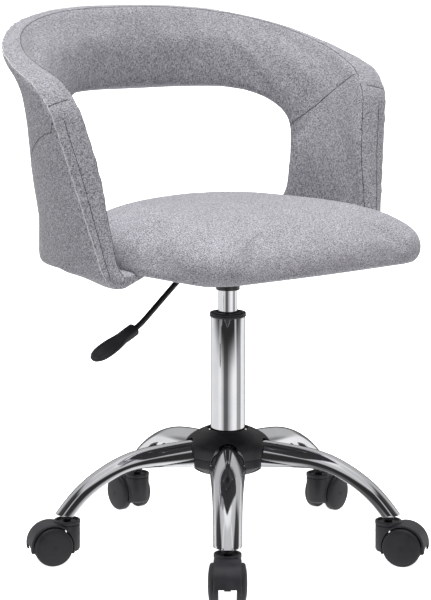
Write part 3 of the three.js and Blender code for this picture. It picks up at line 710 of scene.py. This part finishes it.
def front_line(side, share, z_from, z_to, count=40):
    """A line down an arm's front edge, share of the way from its outer to its inner edge."""
    line = []
    for z in spaced(z_from, z_to, count):
        inset = lerp(3, pad_depth(side, z, rim_height(side, 0)), share)
        line.append(place(*back_point(side, z, inset, 0)))
    return line


def face_line(points, inner, count=50):
    """A line over the inner or outer face through (path, height) points."""
    us = np.interp(spaced(0, len(points) - 1, count), range(len(points)), [p[0] for p in points])
    zs = np.interp(spaced(0, len(points) - 1, count), range(len(points)), [p[1] for p in points])
    line = []
    for u, z in zip(us, zs):
        u, z = float(u), float(z)
        depth = pad_depth(u, z, rim_height(u, 0)) if inner else waist(u, z)
        line.append(place(*back_point(u, z, depth, 0)))
    return line


# (path, height) along the seams that cross the back's faces from the window and from the front edge
INNER_DIAGONAL = ((0.80, 690), (0.722, 663), (0.632, 630), (0.52, 597))
OUTER_DIAGONAL = ((0.95, 634), (0.89, 629), (0.79, 618), (0.72, 598), (0.56, 550))
EDGE_TOP = rim_height(1, 0)
seam_lines = {"rim_inner_seam": rim_line(0.93)}
for side, label in ((-1, "right"), (1, "left")):
    seam_lines[f"{label}_front_inner_seam"] = front_line(side, 0.93, EDGE_TOP, 430)
    seam_lines[f"{label}_front_seam"] = front_line(side, 0.33, EDGE_TOP - 4, 426)
    across_rim = zip(spaced(0.93, 0.80, 16), spaced(2, 43, 16))
    seam_lines[f"{label}_corner_seam"] = [
        place(*back_point(side * u, rim_height(u, 0), inset, 0)) for u, inset in across_rim]
    seam_lines[f"{label}_inner_diagonal_seam"] = face_line([(side * u, z) for u, z in INNER_DIAGONAL], True)
    seam_lines[f"{label}_outer_diagonal_seam"] = face_line([(side * u, z) for u, z in OUTER_DIAGONAL], False)
welt_lines = {"rim_welt": rim_line(0.0)}
for side, label in ((-1, "right"), (1, "left")):
    welt_lines[f"{label}_front_welt"] = front_line(side, 0.0, EDGE_TOP, 420)


SEAM_PRESS, SEAM_WIDE = 1.6, 2.2
# The first radius is of the near-black cords laid in the seams as painted shade; the second, of the welt
# cords.
SEAM_SHADOW_R, WELT_R = 0.55, 0.9


def make_back():
    back = band_solid()
    boolean(back, window_cutter(SLACK))
    join_into(back, foot_solid(-1), foot_solid(1))
    remesh(back, VOXEL)
    relax(back, 0.5, 7)
    pinned = np.exp(-(distance_to_lines(coordinates(back), seam_lines.values(), 0.02) / 0.006) ** 2)
    swell(back, 4.5, pinned, pressure=1.6)
    relax(back, 0.5, 4)
    subdivide(back)
    sew(back, seam_lines.values(), SEAM_PRESS, SEAM_WIDE)
    soften(back, 80)
    make_shell()
    finish_piece(back, "seat", band_fabric, "upholstery", "right_arm_pad", "left_arm_pad", "back_pad",
                 "right_arm_outer_panel", "left_arm_outer_panel", "back_outer_panel", "rim_boxing",
                 "right_side_flange", "left_side_flange")
    # Near-black cords along the seams, as painted shade in their grooves.
    for name, line in seam_lines.items():
        seam_shadow = tube(name, on_surface(back, line, 0.15), SEAM_SHADOW_R, 6)
        finish_piece(seam_shadow, "seat", seam_shadow_fabric, "upholstery")
    # Welt cords along the outer edges, their lighter colour a painted highlight.
    for name, line in welt_lines.items():
        welt = tube(name, on_surface(back, line, 0.25), WELT_R, 8)
        finish_piece(welt, "seat", welt_highlight_fabric, "upholstery")


# ---- seat ----

SEAT_HALF, SEAT_FRONT, SEAT_BACK, SEAT_CORNER = 214, -217, 184, 60
SEAT_BASE, SEAT_TOP, CROWN_SHIFT = 424.4, 510, 26
# (height, inset) of the cushion's side and crown
SEAT_PROFILE = ((424, 12), (430, 3), (444, 0), (459, 3), (475, 13), (491, 36), (503, 74), (512, 130))
CROWN_START, CROWN_TOP = 0.465, 0.5125          # metres: the swollen crown is levelled to the mount's height


def seat_loop(z, inset):
    """The seat's outline at one height: round at the back, bowed in front between rounded corners."""
    half, front, back = SEAT_HALF - inset, SEAT_FRONT + inset, SEAT_BACK - inset
    r = max(SEAT_CORNER - inset, 12)
    points = []
    for k in range(49):
        t = math.pi * k / 48
        points.append((half * signed_power(math.cos(t), 0.8), back * signed_power(math.sin(t), 0.8)))
    for k in range(9):
        t = math.radians(180 + 90 * k / 8)
        points.append((-(half - r) + r * math.cos(t), front + r + r * math.sin(t)))
    for x in spaced(-0.6, 0.6, 9):
        points.append((x * half, front - 5 * (1 - (1.6 * x) ** 2) if abs(x) < 0.625 else front))
    for k in range(9):
        t = math.radians(270 + 90 * k / 8)
        points.append((half - r + r * math.cos(t), front + r + r * math.sin(t)))
    shift = CROWN_SHIFT * smooth(z, 455, 512)
    return [place(x, y + shift, z) for x, y in points]


def make_seat():
    heights = spaced(SEAT_BASE, SEAT_TOP, 26)
    rows = [p[0] for p in SEAT_PROFILE]
    insets = [p[1] for p in SEAT_PROFILE]
    loops = [seat_loop(z, float(np.interp(z, rows, insets)) + SLACK) for z in heights]
    seat = loft("seat_cushion_padded", loops)
    remesh(seat, VOXEL)
    relax(seat, 0.5, 12)
    floor = SEAT_BASE / 1000
    points = coordinates(seat)
    pinned = np.clip((floor + 0.004 - points[:, 2]) / 0.004, 0, 1)
    swell(seat, 9.0, pinned, pressure=4.0)
    relax(seat, 0.5, 5)
    subdivide(seat)
    points = coordinates(seat)
    points[:, 2] = np.maximum(points[:, 2], floor)
    share = (CROWN_TOP - CROWN_START) / (points[:, 2].max() - CROWN_START)
    high = points[:, 2] > CROWN_START
    points[high, 2] = CROWN_START + (points[high, 2] - CROWN_START) * share
    set_coordinates(seat, points)
    soften(seat, 80)
    finish_piece(seat, "seat", seat_fabric, "upholstery", "seat_cushion")


# ---- casters ----


def wheel_mesh(name, side):
    """One wheel of a twin pair, turned about its axle, with its hub cap facing outwards."""
    inner, boss = WHEEL_TRACK / 2, WEB / 2 + 0.3
    outer = inner + WHEEL_WIDTH
    profile = [
        (3.2, boss), (7, boss), (7, inner), (18, inner), (18.6, inner + 0.8), (WHEEL_R - 2.2, inner + 0.8),
        (WHEEL_R - 1.5, inner), (WHEEL_R - 0.5, inner + 0.4), (WHEEL_R, inner + 1.5), (WHEEL_R, inner + 4),
        (WHEEL_R, outer - 5), (WHEEL_R - 0.5, outer - 3.6), (WHEEL_R - 1.5, outer - 2.4),
        (WHEEL_R - 3, outer - 1.7), (WHEEL_R - 3.3, outer - 1.9), (WHEEL_R - 3.7, outer - 1.6),
        (20, outer - 0.7), (14, outer + 0.1),
        (8, outer + 0.5), (3.6, outer + 0.6), (3.2, outer + 0.25), (2.2, outer + 0.25), (1.8, outer + 0.6),
        (0, outer + 0.65), (0, outer - 3), (3.2, outer - 3), (3.2, boss),
    ]

    def to(x, y, z):
        return metres(x, side * z, y * side)

    return lathe(name, profile, 72, to, 30)


def housing_mesh(name):
    """A caster's hood and stem cup, hollowed for the wheels and open between them at the tail."""
    half = HOOD_WIDTH / 2
    hood = cylinder_y(name, HOOD_R, -half, half, CASTER_TRAIL, WHEEL_R, 96)
    bevel(hood, 1.6, 3, 60)
    cup = lathe("cup", [
        (0, HOUSING_BOTTOM), (13.5, HOUSING_BOTTOM), (half - 2.2, HOUSING_BOTTOM + 1.6),
        (half - 0.8, HOUSING_BOTTOM + 4), (half - 0.4, CUP_TOP - 7.2), (half - 1.5, CUP_TOP - 6.6),
        (half - 1.5, CUP_TOP - 5.6), (half, CUP_TOP - 5), (half, CUP_TOP - 1.2), (half - 0.4, CUP_TOP - 0.4),
        (half - 1.2, CUP_TOP), (half - 2.6, CUP_TOP), (half - 3.4, CUP_TOP - 0.6), (half - 4, CUP_TOP - 3),
        (0, CUP_TOP - 3),
    ], 72, metres)
    boolean(hood, cup, "UNION")
    boolean(hood, block("low", (-60, -40, -20), (90, 40, HOUSING_BOTTOM)))
    boolean(hood, block("tail", (CASTER_TRAIL, -40, -20), (90, 40, TAIL_BOTTOM)))
    boolean(hood, block("gap", (TAIL_GAP[0], -WHEEL_TRACK / 2, -20), (90, WHEEL_TRACK / 2, TAIL_GAP[1])))
    for side in (1, -1):
        reach = sorted((side * WEB / 2, side * 70))
        boolean(hood, cylinder_y("pocket", WHEEL_R + 1.8, *reach, CASTER_TRAIL, WHEEL_R, 96))
    boolean(hood, lathe("bore", [(0, 40), (5.8, 40), (5.8, 80), (0, 80)], 32, metres))
    bevel(hood, 0.5, 2, 50)
    return hood


def make_casters():
    wheels = {s: wheel_mesh(f"wheel_source_{s}", s) for s in (1, -1)}
    housing = housing_mesh("housing_source")
    stem = lathe("stem_source", [
        (0, CUP_TOP - 14), (5.5, CUP_TOP - 14), (5.5, CUP_TOP + 1), (8.2, CUP_TOP + 1), (8.5, CUP_TOP + 1.4),
        (8.5, CUP_TOP + 3.6), (8.2, CUP_TOP + 4), (5.5, CUP_TOP + 4), (5.5, CUP_TOP + 20), (0, CUP_TOP + 20)],
        40, metres)
    for number in range(1, 6):
        angle = math.radians(STAR_TURN + 72 * (number - 1))
        x, y = STEM_CIRCLE * math.cos(angle), STEM_CIRCLE * math.sin(angle)
        to_frame = Matrix.Translation(Vector(place(x, y, 0))) @ Matrix.Rotation(angle, 4, "Z")
        to_axle = to_frame @ Matrix.Translation(Vector(metres(CASTER_TRAIL, 0, WHEEL_R)))
        pieces = [(housing, f"caster_hood_{number}", to_frame, f"caster_{number}", charcoal, "plastic",
                   f"caster_housing_{number}"),
                  (stem, f"caster_pin_{number}", to_frame, "base", paint, "steel", f"caster_stem_{number}")]
        for s, letter in ((1, "a"), (-1, "b")):
            wheel = f"wheel_{number}{letter}"
            pieces.append((wheels[s], f"{wheel}_tyre", to_axle, wheel, tread, "plastic", f"caster_{wheel}"))
        for source, name, matrix, body, material, slot, node in pieces:
            finish_piece(placed_copy(source, name, matrix), body, material, slot, node)
    for source in (*wheels.values(), housing, stem):
        bpy.data.objects.remove(source)


# ---- star base, hub and column ----


def arm_mesh(name):
    """One pressed arm of the star: a half-elliptic channel that narrows and bends down to its caster."""
    path = smooth_path(ARM_CREST, 64, 60)
    loops = []
    for i, (r, z) in enumerate(path):
        along = path[min(i + 1, len(path) - 1)] - path[max(i - 1, 0)]
        along /= np.linalg.norm(along)
        deep = lerp(*ARM_DEEP, smooth(r, 34.6, 187))
        wide = lerp(*ARM_WIDE, smooth(r, 93, STEM_CIRCLE))
        loop = []
        for sheet in (0, ARM_SHEET):
            arc = []
            for k in range(25):
                t = math.pi * k / 24
                across = (wide / 2 - sheet) * math.cos(t)
                up = (deep - sheet) * math.sin(t)
                drop = deep - up
                arc.append((r + drop * along[1], across, z - drop * along[0]))
            loop += arc if sheet == 0 else arc[::-1]
        loops.append([metres(*p) for p in loop])
    arm = loft(name, loops)
    boolean(arm, block("under_end", (200, -60, 0), (320, 60, ARM_END)))
    boolean(arm, block("near_hub", (-20, -60, 0), (34.6, 60, 300)))
    bevel(arm, 0.5, 2, 50)
    return arm


def notch_cutter(angle):
    """A tool for the arched opening that an arm leaves the hub's covers through."""
    half = NOTCH_WIDE / 2
    arch = [(half, NOTCH_BOTTOM)]
    for t in spaced(0, math.pi, 33):
        arch.append((half * math.cos(t), NOTCH_SPRING + (NOTCH_TOP - NOTCH_SPRING) * math.sin(t)))
    arch.append((-half, NOTCH_BOTTOM))
    out, side = (math.cos(angle), math.sin(angle)), (-math.sin(angle), math.cos(angle))
    loops = []
    for r in (26, 90):
        loops.append([place(r * out[0] + a * side[0], r * out[1] + a * side[1], z) for a, z in arch])
    return loft("notch", loops)


# (radius, height) outlines of the pieces turned about the column's axis
HUB_COVER = (
    (HUB_R, HUB_SEAM), (HUB_R, 151), (62.6, 154.4), (61.4, 158), (59.2, 161.6), (56, 165), (51.8, 168.3),
    (47, 171.3), (41.6, 174.2), (36.4, 176.6), (31.4, 178.6), (30, 178.9), (29.2, 178.3), (29.2, 176.5),
    (35, 174.4), (42.8, 170.6), (50, 166.4), (55.8, 161.6), (59, 156.8), (60.5, 151.6), (60.5, HUB_SEAM),
    (HUB_R, HUB_SEAM))
HUB_UNDER_COVER = (
    (HUB_R, HUB_SEAM - 0.5), (63.5, 131.2), (63.3, 130), (62.2, 128.8), (48, 119.1), (45.4, 117.6),
    (42, HUB_BOTTOM), (20, HUB_BOTTOM), (20, HUB_BOTTOM + 2.5), (41.4, HUB_BOTTOM + 2.5), (45.8, 120.9),
    (59.6, 130.2), (60.9, 132), (60.5, HUB_SEAM - 0.5), (HUB_R, HUB_SEAM - 0.5))
COLLAR = (
    (25.3, 124), (34.2, 124), (34.2, 166), (28.8, 168), (28.8, 171.6), (28.3, 172.8), (27.4, 173.4),
    (25.3, 173.5), (25.3, 124))
SLEEVE = (
    (6, 121), (24.4, 121), (25, 121.6), (25, 341.2), (24.6, 341.8), (24, 342), (22.5, 342), (22.5, 124),
    (6, 124), (6, 121))
BUSH = (
    (14.1, 252), (22.2, 252), (22.2, 342.3), (25.7, 342.3), (26.3, 342.9), (26.3, 344.2), (25.8, 344.7),
    (25.6, 345.2), (26.1, 345.8), (26.2, 347), (25.6, 348.1), (24.8, 348.5), (18, 348.5), (16.6, 347.6),
    (14.1, 346.4), (14.1, 252))
CYLINDER = (
    (5.1, 166), (13.4, 166), (14, 166.6), (14, 400.9), (13.4, 401.5), (3.1, 401.5), (3.1, 381.5),
    (11.5, 377.5), (11.5, 174), (5.1, 174), (5.1, 166))


def make_base():
    arm = arm_mesh("arm_source")
    angles = [math.radians(STAR_TURN + 72 * number) for number in range(5)]
    for number, angle in enumerate(angles, 1):
        to_frame = Matrix.Translation(Vector(place(0, 0, 0))) @ Matrix.Rotation(angle, 4, "Z")
        piece = placed_copy(arm, f"star_arm_{number}", to_frame)
        finish_piece(piece, "base", chrome, "chrome", f"base_arm_{number}")
    bpy.data.objects.remove(arm)
    for name, outline, node in (("hub_cover", HUB_COVER, "hub_top_cover"),
                                ("hub_under_cover", HUB_UNDER_COVER, "hub_bottom_cover")):
        cover = lathe(name, outline, 144)
        for angle in angles:
            boolean(cover, notch_cutter(angle))
        bevel(cover, 0.4, 2, 50)
        finish_piece(cover, "base", charcoal, "plastic", node)
    for name, outline, segments, body, material, slot, node in (
            ("hub_collar", COLLAR, 120, "base", paint, "black_steel", "hub_core"),
            ("column_sleeve", SLEEVE, 120, "base", chrome, "chrome", "column_tube"),
            ("column_bush", BUSH, 120, "base", charcoal, "plastic", "guide_bush"),
            ("gas_cylinder", CYLINDER, 96, "seat", chrome, "chrome", "pressure_cylinder")):
        finish_piece(lathe(name, outline, segments), body, material, slot, node)


# ---- height lever ----

LEVER_ROD_R = 4.0
LEVER_PATH = ((8, 411), (-20, 411), (-50, 411), (-72, 410.6), (-80, 409), (-88, 405.4), (-98, 398.2),
              (-110, 388.6), (-130, 372.4), (-150, 356.3), (-158, 350), (-163.5, 346.3), (-170, 343.2),
              (-183, 337.1))
GRIP_START, GRIP_SLOPE, GRIP_LONG, GRIP_ROLL = (-170, 343.2), 25, 81, 25
# distance along the grip, half width and half thickness there
GRIP_STATIONS = ((0, 8.0, 6.4), (1, 9.0, 7.2), (10, 9.3, 7.3), (20, 9.3, 7.0), (26, 9.6, 5.8),
                 (34, 11.6, 4.4), (46, 13.3, 3.8), (58, 13.5, 3.6), (68, 12.4, 3.3), (75, 9.8, 3.0),
                 (79.5, 6.0, 2.4), (81, 2.6, 1.6))


def make_lever():
    path = smooth_path(LEVER_PATH, 90, 12)
    bar = tube("lever_bar", [place(x, 0, z) for x, z in path], LEVER_ROD_R, 20)
    finish_piece(bar, "lever", paint, "black_steel", "lever_rod")

    loops = []
    slope, roll = math.radians(GRIP_SLOPE), math.radians(GRIP_ROLL)
    fine = np.linspace(0, GRIP_LONG, 60)
    along, halves, thicks = np.array(GRIP_STATIONS).T
    halves = np.interp(fine, along, halves)
    thicks = np.interp(fine, along, thicks)
    for _ in range(4):
        halves[2:-3] = 0.5 * halves[2:-3] + 0.25 * (halves[1:-4] + halves[3:-2])
        thicks[2:-3] = 0.5 * thicks[2:-3] + 0.25 * (thicks[1:-4] + thicks[3:-2])
    for s, half, thick in zip(fine, halves, thicks):
        dish = 1.2 * smooth(s, 28, 38) * (1 - smooth(s, 69, 77))
        loop = []
        for k in range(40):
            a = 2 * math.pi * k / 40
            y = half * signed_power(math.cos(a), 0.75)
            n = thick * signed_power(math.sin(a), 0.75)
            n -= math.copysign(dish * smooth(half * 0.78 - abs(y), 0, 2.4), n)
            y, n = y * math.cos(roll) - n * math.sin(roll), y * math.sin(roll) + n * math.cos(roll)
            x = GRIP_START[0] - s * math.cos(slope) - n * math.sin(slope)
            z = GRIP_START[1] - s * math.sin(slope) + n * math.cos(slope)
            loop.append(place(x, y, z))
        loops.append(loop)
    grip = loft("lever_paddle", loops, sharp_angle=60)
    finish_piece(grip, "lever", charcoal, "plastic", "lever_grip")


# ---- carried-over CAD nodes ----


def dress_cad():
    """Materials for the CAD nodes that stay visible."""
    kept = {"mechanism_plate": paint, "lever_pivot_pin": zinc, "thrust_bearing": zinc, "piston_rod": zinc,
            "rod_clip": zinc, "release_pin": zinc, "seat_board": black_board}
    kept.update({f"plate_bolt_{k}": zinc for k in range(1, 5)})
    kept.update({f"caster_axle_{k}": zinc for k in range(1, 6)})
    for name, material in kept.items():
        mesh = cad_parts[name].data
        mesh.materials.clear()
        mesh.materials.append(material)


# ---- stage ----


CAMERA_TURN, CAMERA_DISTANCE, CAMERA_HEIGHT, CAMERA_PITCH = 41.0, 2750, 816.7, 9.32
CAMERA_ASIDE, LENS, SENSOR = 17.7, 116.64, 36
SUN_TURN, SUN_HEIGHT, SUN_ENERGY, SUN_WIDE = 20, 83, 3.9, 44
FLOOR_HALF = 40

# Surroundings as (degrees round from behind the camera, brightness), seen only by bright metal.
WALLS = ((-180, 0.10), (-150, 0.16), (-138, 0.85), (-75, 0.80), (-50, 0.95), (-34, 0.60), (-22, 0.12),
         (-4, 0.12), (10, 0.45), (26, 0.80), (36, 1.0), (58, 1.0), (64, 0.38), (92, 0.34), (98, 1.0),
         (138, 0.9), (150, 0.16), (180, 0.10))
UPPER_ROOM = ((-180, 0.5), (-125, 0.5), (-105, 0.06), (-62, 0.03), (-56, 0.5), (-50, 0.5), (-44, 0.03),
              (44, 0.03), (50, 0.5), (56, 0.5), (62, 0.03), (105, 0.06), (125, 0.5), (180, 0.5))
# Shares by height, from 0 straight down to 1 straight up.
UPPER_SHARE = ((0.0, 0.0), (0.56, 0.0), (0.67, 1.0), (1.0, 1.0))
WHITE_SHARE = ((0.0, 1.0), (0.24, 1.0), (0.31, 0.0), (0.83, 0.0), (0.88, 0.55), (0.95, 0.62), (0.985, 1.0))
SOFT_LIGHT = ((0.0, 0.90), (0.46, 0.80), (0.54, 0.12), (1.0, 0.12))


def toward_camera(turn, distance, height):
    """A place at that azimuth from the camera's side of the chair, in metres."""
    a = math.radians(CAMERA_TURN + turn)
    return place(-distance * math.sin(a), -distance * math.cos(a), height)


def toward_direction(turn, height):
    """A unit direction at that turn from the camera's side and that many degrees up."""
    a, e = math.radians(CAMERA_TURN + turn), math.radians(height)
    return Vector((-math.sin(a) * math.cos(e), -math.cos(a) * math.cos(e), math.sin(e)))


def make_studio():
    """White surroundings, and for bright metal the dark gaps between a studio's light panels."""
    world = bpy.data.worlds.new("studio")
    scene.world = world
    world.use_nodes = True
    tree = world.node_tree
    tree.nodes.clear()
    link = tree.links.new

    def add(kind, **settings):
        made = tree.nodes.new(kind)
        for key, value in settings.items():
            setattr(made, key, value)
        return made

    def ramp(value, stops):
        made = add("ShaderNodeValToRGB")
        made.color_ramp.interpolation = "EASE"
        elements = made.color_ramp.elements
        while len(elements) < len(stops):
            elements.new(0.5)
        for element, (position, grey) in zip(elements, stops):
            element.position = position
            element.color = (grey, grey, grey * 1.01, 1)
        link(value, made.inputs[0])
        return made.outputs[0]

    turned = add("ShaderNodeMapping")
    turned.inputs["Rotation"].default_value = (0, 0, math.radians(CAMERA_TURN))
    link(add("ShaderNodeTexCoord").outputs["Generated"], turned.inputs["Vector"])
    axes = add("ShaderNodeSeparateXYZ")
    link(turned.outputs[0], axes.inputs[0])
    back = add("ShaderNodeMath", operation="MULTIPLY")
    back.inputs[1].default_value = -1
    link(axes.outputs["Y"], back.inputs[0])
    angle = add("ShaderNodeMath", operation="ARCTAN2")
    link(axes.outputs["X"], angle.inputs[0])
    link(back.outputs[0], angle.inputs[1])
    round_share = add("ShaderNodeMapRange")
    round_share.inputs["From Min"].default_value = -math.pi
    round_share.inputs["From Max"].default_value = math.pi
    link(angle.outputs[0], round_share.inputs["Value"])
    walls_seen = ramp(round_share.outputs[0], [(turn / 360 + 0.5, grey) for turn, grey in WALLS])
    room_seen = ramp(round_share.outputs[0], [(turn / 360 + 0.5, grey) for turn, grey in UPPER_ROOM])
    high_share = add("ShaderNodeMapRange")
    high_share.inputs["From Min"].default_value = -1
    link(axes.outputs["Z"], high_share.inputs["Value"])
    above = ramp(high_share.outputs[0], UPPER_SHARE)
    bright = ramp(high_share.outputs[0], WHITE_SHARE)
    walls = add("ShaderNodeMix", data_type="RGBA")
    link(above, walls.inputs["Factor"])
    link(walls_seen, walls.inputs["A"])
    link(room_seen, walls.inputs["B"])
    studio = add("ShaderNodeMix", data_type="RGBA")
    link(bright, studio.inputs["Factor"])
    link(walls.outputs["Result"], studio.inputs["A"])
    studio.inputs["B"].default_value = (0.97, 0.97, 0.98, 1)
    soft = ramp(high_share.outputs[0], SOFT_LIGHT)

    rays = add("ShaderNodeLightPath")
    plain = add("ShaderNodeBackground")
    link(soft, plain.inputs["Color"])
    mirrored = add("ShaderNodeBackground")
    link(studio.outputs["Result"], mirrored.inputs["Color"])
    seen = add("ShaderNodeBackground")
    seen.inputs["Color"].default_value = (1, 1, 1, 1)
    seen.inputs["Strength"].default_value = 1.1
    output = add("ShaderNodeOutputWorld")
    unseen = add("ShaderNodeMixShader")
    link(rays.outputs["Is Glossy Ray"], unseen.inputs[0])
    link(plain.outputs[0], unseen.inputs[1])
    link(mirrored.outputs[0], unseen.inputs[2])
    mixed = add("ShaderNodeMixShader")
    link(rays.outputs["Is Camera Ray"], mixed.inputs[0])
    link(unseen.outputs[0], mixed.inputs[1])
    link(seen.outputs[0], mixed.inputs[2])
    link(mixed.outputs[0], output.inputs["Surface"])


def make_floor():
    """A pale floor bright enough to show no shadow, which leaves the light on the chair as it is."""
    corners = [(x * FLOOR_HALF, y * FLOOR_HALF, 0) for x, y in ((-1, -1), (1, -1), (1, 1), (-1, 1))]
    floor = new_object("floor", corners, [(0, 1, 2, 3)])
    g = Graph("pale_floor")
    mottle = g.ramp(g.noise(1.5, 2.0), ((0.3, (0.90, 0.90, 0.90)), (0.7, (0.93, 0.93, 0.93))))
    g.set(Base_Color=mottle, Roughness=0.9, Emission_Color=(1, 1, 1, 1), Emission_Strength=1.0)
    floor.data.materials.append(g.material)
    floor.visible_glossy = False
    floor.visible_diffuse = False
    floor.visible_shadow = False


def make_sun():
    sun = bpy.data.objects.new("overhead", bpy.data.lights.new("overhead", "SUN"))
    sun.data.energy = SUN_ENERGY
    sun.data.angle = math.radians(SUN_WIDE)
    sun.rotation_euler = (-toward_direction(SUN_TURN, SUN_HEIGHT)).to_track_quat("-Z", "Y").to_euler()
    sun.visible_glossy = False
    scene.collection.objects.link(sun)


def make_camera():
    data = bpy.data.cameras.new("camera")
    data.sensor_fit = "AUTO"
    data.sensor_width = SENSOR
    data.lens = LENS
    camera = bpy.data.objects.new("camera", data)
    a = math.radians(CAMERA_TURN)
    camera.location = toward_camera(0, CAMERA_DISTANCE, CAMERA_HEIGHT)
    right = Vector((math.cos(a), -math.sin(a), 0))
    drop = CAMERA_DISTANCE * math.tan(math.radians(CAMERA_PITCH))
    aim = Vector(place(0, 0, CAMERA_HEIGHT - drop)) - right * CAMERA_ASIDE * MM
    camera.rotation_euler = (aim - camera.location).to_track_quat("-Z", "Y").to_euler()
    scene.collection.objects.link(camera)
    scene.camera = camera


make_floor()
make_studio()
make_sun()
scene.view_settings.view_transform = "Standard"
scene.view_settings.look = "None"
make_camera()
dress_cad()
make_base()
make_casters()
make_lever()
make_seat()
make_back()
